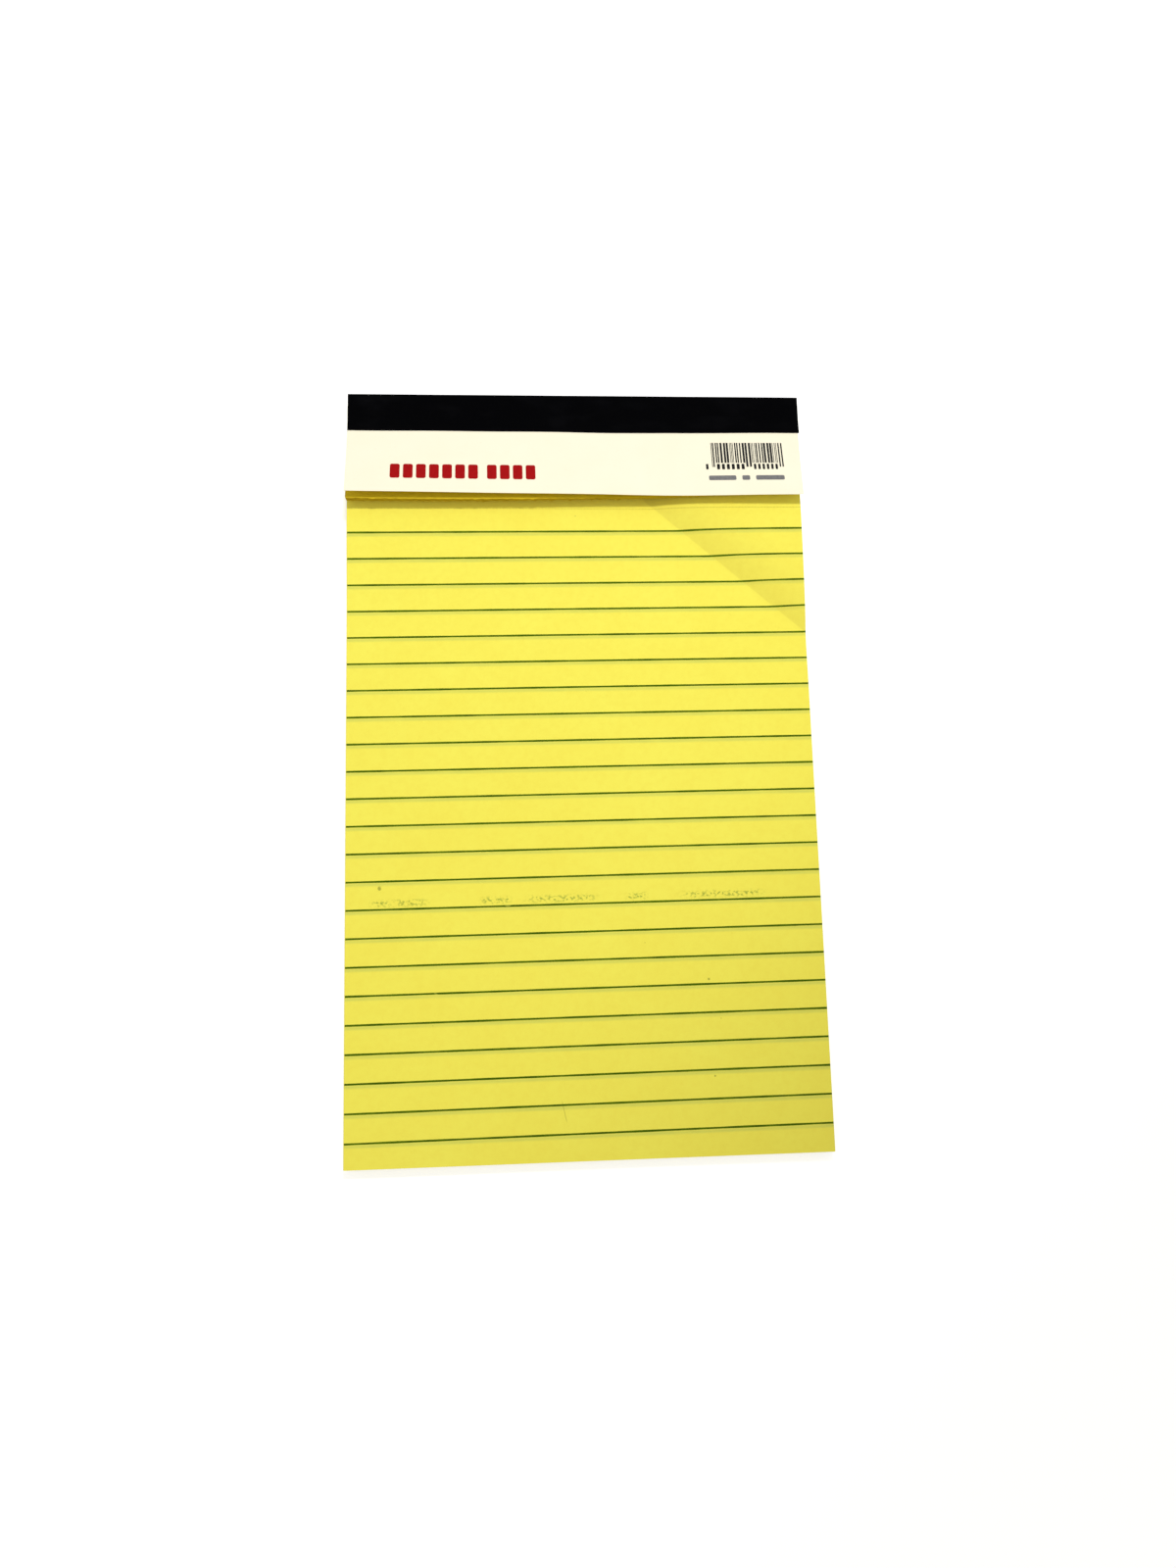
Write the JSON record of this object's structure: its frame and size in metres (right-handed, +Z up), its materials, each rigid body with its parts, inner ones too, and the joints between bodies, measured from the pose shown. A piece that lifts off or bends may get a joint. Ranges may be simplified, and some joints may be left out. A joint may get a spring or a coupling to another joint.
{
  "type": "legal pad",
  "caption": "Small yellow ruled legal pad, half used, with a black tape binding, a lifted header label over torn stubs and a chipboard back.",
  "frame": {"origin": "under the middle of the pad, on the plane that its chipboard back rests on", "axes": "+Z up through the sheets, +Y along the sheets to the tape-bound head, +X to the reader's right"},
  "size_m": [0.127, 0.21, 0.0123],
  "materials": {
    "chipboard": "matte",
    "yellow_paper": "matte",
    "label_paper": "satin",
    "black_tape": "matte",
    "staple_wire": "satin",
    "rule_ink": "matte",
    "heading_ink": "matte",
    "code_ink": "matte",
    "caption_ink": "matte"
  },
  "bodies": {
    "root": {"backing_board": "chipboard", "sheet_block": "yellow_paper", "torn_stubs": "yellow_paper", "header_label": "label_paper", "binding_tape": "black_tape", "staple_left": "staple_wire", "staple_right": "staple_wire", "rule_lines": "rule_ink", "heading_print": "heading_ink", "code_print": "code_ink", "caption_print": "caption_ink"}
  },
  "joints": []
}
